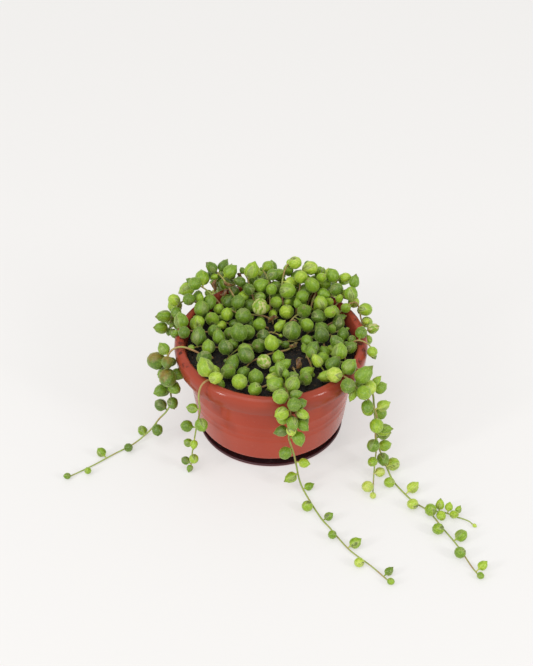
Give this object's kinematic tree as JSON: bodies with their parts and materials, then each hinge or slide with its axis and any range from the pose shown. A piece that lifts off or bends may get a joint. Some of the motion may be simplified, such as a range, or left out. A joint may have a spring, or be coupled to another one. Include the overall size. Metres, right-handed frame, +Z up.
{
  "type": "potted string of pearls",
  "caption": "Trailing succulent with pearl-like round leaves on thin stems, in a round glossy plastic pot with a collared rim, standing on a shallow dark saucer.",
  "frame": {"origin": "centre of the saucer's flat underside", "axes": "+Z up along the pot's axis, -Y towards the side where the longest strands trail, +X to the right of it"},
  "size_m": [0.2265, 0.193, 0.0833],
  "materials": {
    "pot": "glossy moulded terracotta-red plastic",
    "saucer": "satin dark maroon plastic",
    "soil": "matt crumbly potting mix",
    "plant": "smooth waxy leaf with fine pale speckles"
  },
  "bodies": {
    "root": {"saucer": "saucer", "pot": "pot", "soil": "soil", "strand_trail_front": "plant", "strand_trail_left": "plant", "strand_trail_front_left": "plant", "strand_trail_right": "plant", "strand_trail_right_short": "plant", "strand_hang_left": "plant", "strand_over_right": "plant", "strand_over_right_low": "plant", "strand_back_left_outer": "plant", "strand_back_left": "plant", "strand_back_mid_left": "plant", "strand_back_mid": "plant", "strand_back_mid_right": "plant", "strand_back_high": "plant", "strand_back_right": "plant", "strand_back_right_outer": "plant", "strand_back_right_low": "plant", "strand_back_across": "plant", "strand_middle_left": "plant", "strand_middle_right": "plant", "strand_big_leaf": "plant", "strand_centre": "plant", "strand_centre_left": "plant", "strand_left_upper": "plant", "strand_left": "plant", "strand_left_lower": "plant", "strand_middle_front_left": "plant", "strand_middle_front": "plant", "strand_front_left": "plant", "strand_front_right": "plant", "strand_right_front": "plant", "strand_right_lower": "plant", "strand_right": "plant", "strand_right_upper": "plant", "strand_over_back_left": "plant", "strand_over_back": "plant", "strand_over_back_right": "plant"}
  },
  "joints": []
}
